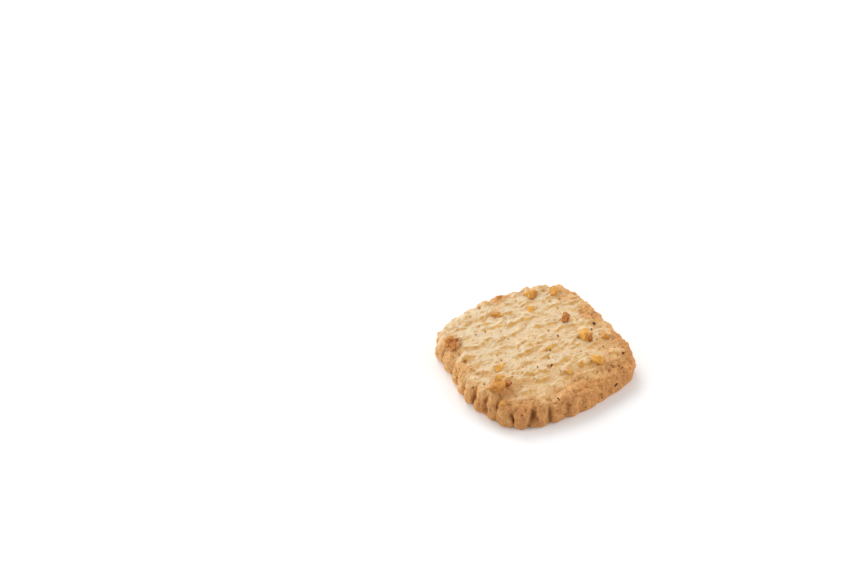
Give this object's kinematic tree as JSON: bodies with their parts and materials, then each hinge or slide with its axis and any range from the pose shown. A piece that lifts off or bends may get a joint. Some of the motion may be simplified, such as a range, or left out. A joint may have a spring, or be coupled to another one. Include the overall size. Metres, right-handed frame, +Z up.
{
  "type": "nut biscuit",
  "caption": "Square shortbread biscuit with rounded corners, a fluted edge, a rough torn top and chopped hazelnut baked into the dough.",
  "frame": {"origin": "middle of the flat underside", "axes": "+Z up out of the pale torn top, X along the tears of the top, Y across them, both along the biscuit's sides"},
  "size_m": [0.0512, 0.051, 0.0102],
  "materials": {
    "shortbread": "dry, matt, sandy baked shortbread, pale on top and golden brown round the edge, with golden hazelnut pieces"
  },
  "bodies": {
    "root": {"biscuit": "shortbread"}
  },
  "joints": []
}
